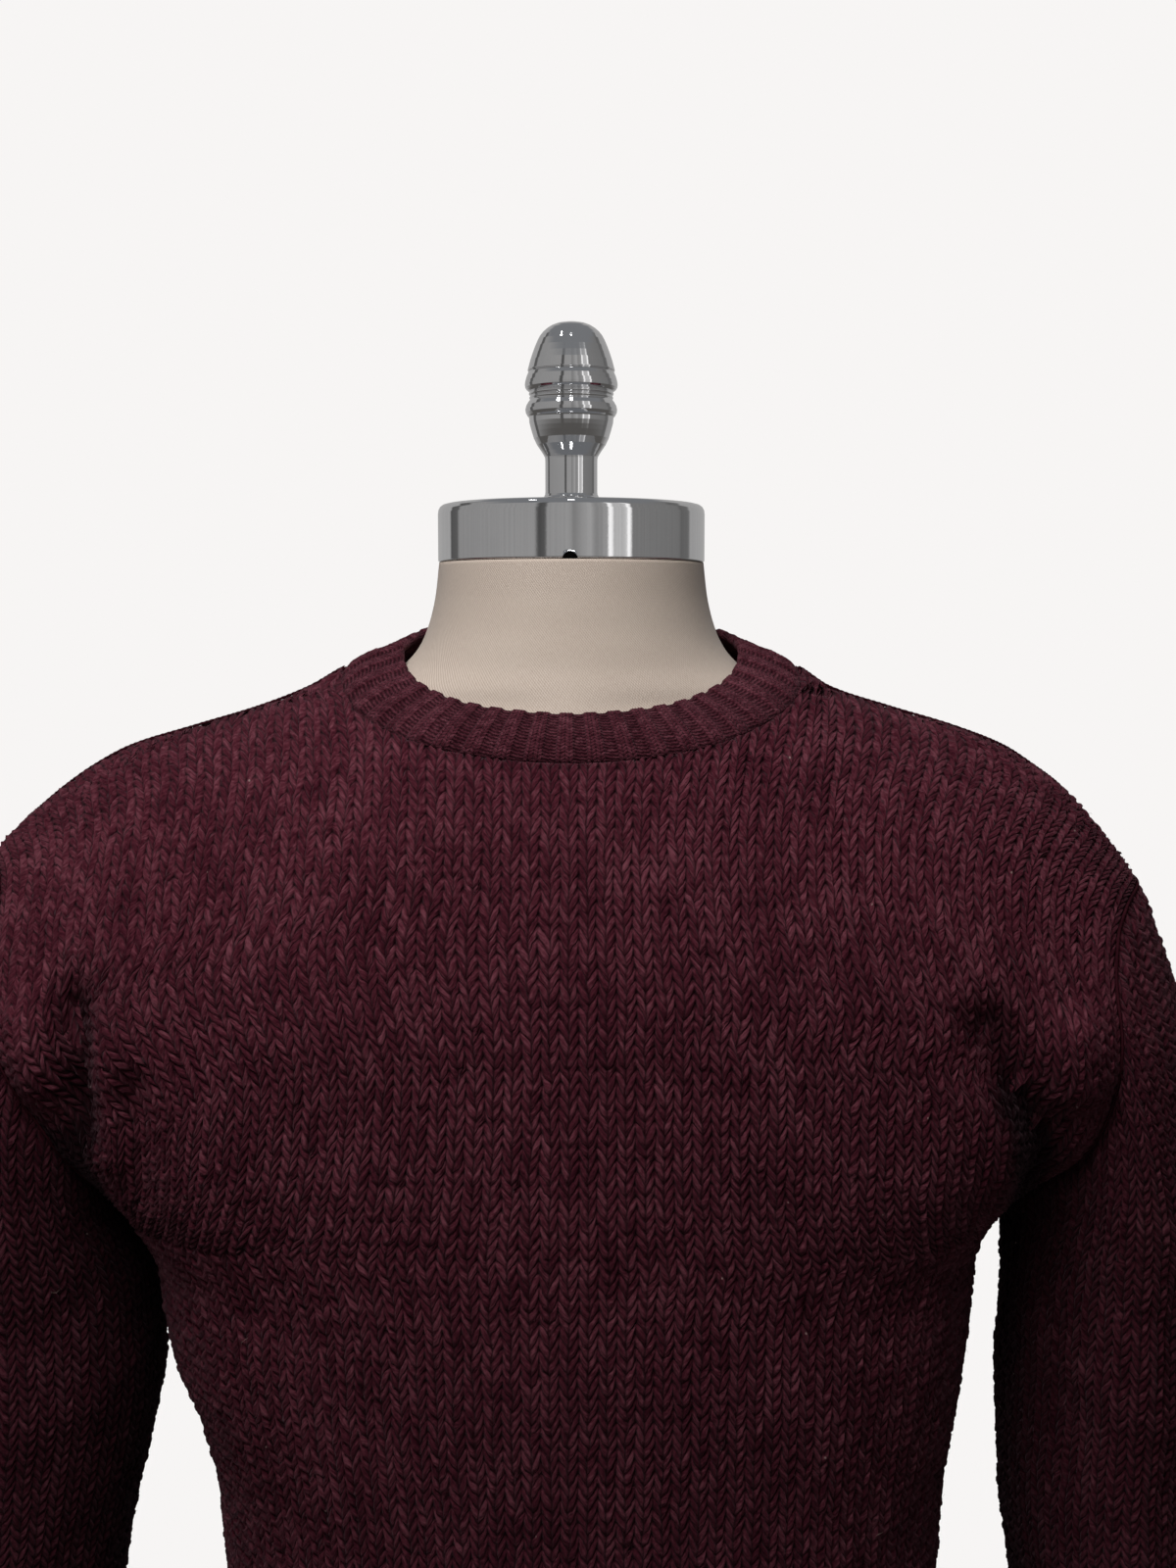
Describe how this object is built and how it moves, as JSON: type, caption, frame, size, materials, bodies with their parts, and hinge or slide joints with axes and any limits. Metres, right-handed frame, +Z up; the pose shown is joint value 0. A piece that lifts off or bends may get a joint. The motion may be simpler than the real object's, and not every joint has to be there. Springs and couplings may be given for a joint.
{
  "type": "sweater on dress form",
  "caption": "Chunky knitted crew-neck pullover with dropped shoulders and hanging sleeves, resting on a limbless dress form with a pole and round base.",
  "frame": {"origin": "centre of the base's underside, on the floor", "axes": "+Z up along the pole, -Y towards the front of the sweater, +X towards the right of someone who looks at its front"},
  "size_m": [0.601, 0.38, 1.5815],
  "materials": {
    "knit": "dark burgundy heathered wool, chunky stocking stitch",
    "rib": "dark burgundy wool rib",
    "canvas": "beige twill canvas",
    "chrome": "polished"
  },
  "bodies": {
    "root": {"front": "knit", "back": "knit", "sleeve_left": "knit", "sleeve_right": "knit", "neckband": "rib", "hem_band": "rib", "cuff_left": "rib", "cuff_right": "rib", "form_torso": "canvas", "neck_cap": "chrome", "finial": "chrome", "pole": "chrome", "base": "chrome"}
  },
  "joints": []
}
